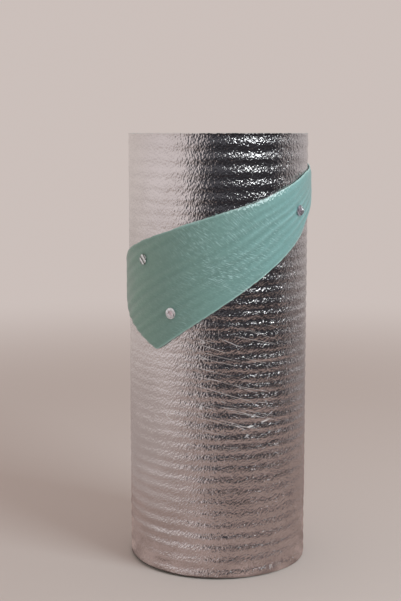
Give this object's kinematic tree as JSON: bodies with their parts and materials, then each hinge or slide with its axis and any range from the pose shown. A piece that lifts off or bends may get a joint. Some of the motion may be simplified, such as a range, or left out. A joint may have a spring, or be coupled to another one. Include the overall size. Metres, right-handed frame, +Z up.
{
  "type": "roll of foil-faced foam underlay",
  "caption": "Upright roll of silver foil-faced foam sheet with a round bore, and a slanting teal foam strip pinned round its upper half.",
  "frame": {"origin": "centre of the bore at the roll's lower end, on the floor", "axes": "+Z up along the bore, -Y out of the roll's front, +X to the right of someone who faces the front"},
  "size_m": [0.4316, 0.4243, 1],
  "materials": {
    "foil_foam": "crinkled metallised film on foam",
    "teal_foam": "satin ribbed foam",
    "pin_metal": "bright, slightly dented"
  },
  "bodies": {
    "root": {"foam_roll": "foil_foam", "teal_strip": "teal_foam", "pin_upper_left": "pin_metal", "pin_lower_left": "pin_metal", "pin_right": "pin_metal"}
  },
  "joints": []
}
